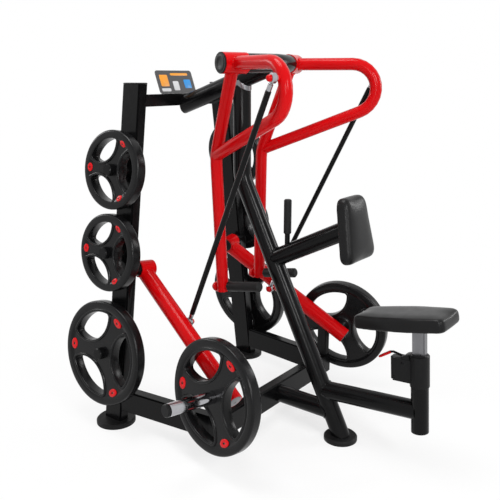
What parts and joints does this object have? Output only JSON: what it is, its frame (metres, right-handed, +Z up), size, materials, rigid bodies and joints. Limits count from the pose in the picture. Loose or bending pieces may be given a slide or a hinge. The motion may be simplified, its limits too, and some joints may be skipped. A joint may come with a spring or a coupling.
{
  "type": "seated row machine",
  "caption": "Plate-loaded gym machine: red arms hung from a black frame pull levers with weight plates through tie rods, with a seat, a chest pad and stored plates.",
  "frame": {"origin": "centre of the bounding box at floor level", "axes": "+Z up, +X across to the right of the seated user, +Y the way the user faces; X = 0 is the plane of symmetry"},
  "size_m": [1.4434, 1.5432, 1.567],
  "materials": {
    "black_coat": "satin black powder coat",
    "red_coat": "gloss red powder coat",
    "plate_rubber": "moulded rubber, slightly shiny",
    "foot_rubber": "matt rubber",
    "grip_rubber": "ribbed foam rubber",
    "black_plastic": "moulded plastic",
    "chrome": "polished plating",
    "bright_steel": "zinc plated rod ends",
    "brushed_steel": "brushed tube",
    "vinyl": "matt grey vinyl cover",
    "sign": "printed sheet"
  },
  "bodies": {
    "frame": {"brace_bar": "black_coat", "brace_grip": "grip_rubber", "center_beam": "black_coat", "chest_beam": "black_coat", "chest_bracket": "black_coat", "chest_pad": "vinyl", "cross_beam": "black_coat", "front_foot": "foot_rubber", "front_leg": "black_coat", "lever_stop_left": "foot_rubber", "lever_stop_right": "foot_rubber", "pivot_head": "black_coat", "placard": "sign", "rear_foot_left": "foot_rubber", "rear_foot_right": "foot_rubber", "rear_post_left": "black_coat", "rear_post_right": "black_coat", "seat_beam": "black_coat", "seat_collar": "black_plastic", "seat_post": "black_coat", "side_rail_left": "black_coat", "side_rail_right": "black_coat", "spine": "black_coat", "top_crossbar": "black_coat"},
    "seat": {"seat_tube": "brushed_steel", "seat_plate": "black_coat", "seat_pad": "vinyl"},
    "seat_release": {"seat_lever": "red_coat"},
    "lever_left": {"weight_lever_left": "red_coat", "weight_horn_left": "chrome", "horn_cap_left": "black_plastic"},
    "loaded_plate_left": {"loaded_plate_left": "plate_rubber"},
    "arm_left": {"arm_hub_left": "red_coat", "hub_cap_left": "black_plastic", "arm_bar_left": "red_coat", "arm_loop_left": "red_coat", "handle_bar_left": "red_coat", "handle_grip_left": "grip_rubber"},
    "rod_left": {"tie_rod_left": "black_coat", "rod_end_lower_left": "bright_steel", "rod_end_upper_left": "bright_steel"},
    "stored_plate_left_1": {"stored_plate_left_1": "plate_rubber"},
    "stored_plate_left_2": {"stored_plate_left_2": "plate_rubber"},
    "stored_plate_left_3": {"stored_plate_left_3": "plate_rubber"},
    "lever_right": {"weight_lever_right": "red_coat", "weight_horn_right": "chrome", "horn_cap_right": "black_plastic"},
    "loaded_plate_right": {"loaded_plate_right": "plate_rubber"},
    "arm_right": {"arm_hub_right": "red_coat", "hub_cap_right": "black_plastic", "arm_bar_right": "red_coat", "arm_loop_right": "red_coat", "handle_bar_right": "red_coat", "handle_grip_right": "grip_rubber"},
    "rod_right": {"tie_rod_right": "black_coat", "rod_end_lower_right": "bright_steel", "rod_end_upper_right": "bright_steel"},
    "stored_plate_right_1": {"stored_plate_right_1": "plate_rubber"},
    "stored_plate_right_2": {"stored_plate_right_2": "plate_rubber"},
    "stored_plate_right_3": {"stored_plate_right_3": "plate_rubber"}
  },
  "joints": [
    {"name": "seat_height", "type": "slide", "parent": "frame", "child": "seat", "axis": [0, 0.0698, 0.9976], "range_m": [0, 0.1]},
    {"name": "seat_release_lever", "type": "hinge", "parent": "frame", "child": "seat_release", "pos_m": [0, -0.58284, 0.44355], "axis": [1, 0, 0], "range_deg": [0, 15], "stiffness_Nm_per_rad": 0.4},
    {"name": "lever_swing_left", "type": "hinge", "parent": "frame", "child": "lever_left", "pos_m": [-0.293, 0.5026, 0.667], "axis": [-0.9839, 0.14, 0.1115], "range_deg": [0, 35]},
    {"name": "arm_swing_left", "type": "hinge", "parent": "frame", "child": "arm_left", "pos_m": [-0.19715, 0.07866, 1.527], "axis": [-0.9511, 0.309, 0], "range_deg": [0, 35.81]},
    {"name": "rod_swing_left", "type": "hinge", "parent": "arm_left", "child": "rod_left", "pos_m": [-0.366, -0.22639, 1.4724], "axis": [0.9272, -0.3746, 0], "range_deg": [0, 31.06]},
    {"name": "loaded_plate_slide_left", "type": "slide", "parent": "lever_left", "child": "loaded_plate_left", "axis": [-0.9839, 0.14, 0.1115], "range_m": [0, 0.2]},
    {"name": "stored_plate_slide_left_1", "type": "slide", "parent": "frame", "child": "stored_plate_left_1", "axis": [-0.9909, 0, 0.1348], "range_m": [0, 0.12]},
    {"name": "stored_plate_slide_left_2", "type": "slide", "parent": "frame", "child": "stored_plate_left_2", "axis": [-0.9909, 0, 0.1348], "range_m": [0, 0.12]},
    {"name": "stored_plate_slide_left_3", "type": "slide", "parent": "frame", "child": "stored_plate_left_3", "axis": [-0.9909, 0, 0.1348], "range_m": [0, 0.12]},
    {"name": "lever_swing_right", "type": "hinge", "parent": "frame", "child": "lever_right", "pos_m": [0.293, 0.5026, 0.667], "axis": [-0.9839, -0.14, -0.1115], "range_deg": [0, 35]},
    {"name": "arm_swing_right", "type": "hinge", "parent": "frame", "child": "arm_right", "pos_m": [0.19715, 0.07866, 1.527], "axis": [-0.9511, -0.309, 0], "range_deg": [0, 35.81]},
    {"name": "rod_swing_right", "type": "hinge", "parent": "arm_right", "child": "rod_right", "pos_m": [0.366, -0.22639, 1.4724], "axis": [0.9272, 0.3746, 0], "range_deg": [0, 31.06]},
    {"name": "loaded_plate_slide_right", "type": "slide", "parent": "lever_right", "child": "loaded_plate_right", "axis": [0.9839, 0.14, 0.1115], "range_m": [0, 0.2]},
    {"name": "stored_plate_slide_right_1", "type": "slide", "parent": "frame", "child": "stored_plate_right_1", "axis": [0.9909, 0, 0.1348], "range_m": [0, 0.12]},
    {"name": "stored_plate_slide_right_2", "type": "slide", "parent": "frame", "child": "stored_plate_right_2", "axis": [0.9909, 0, 0.1348], "range_m": [0, 0.12]},
    {"name": "stored_plate_slide_right_3", "type": "slide", "parent": "frame", "child": "stored_plate_right_3", "axis": [0.9909, 0, 0.1348], "range_m": [0, 0.12]}
  ],
  "couplings": [
    {"joint": "arm_swing_left", "follows": "lever_swing_left", "ratio": 1.009},
    {"joint": "rod_swing_left", "follows": "lever_swing_left", "ratio": 0.8731},
    {"joint": "arm_swing_right", "follows": "lever_swing_right", "ratio": 1.009},
    {"joint": "rod_swing_right", "follows": "lever_swing_right", "ratio": 0.8731}
  ]
}
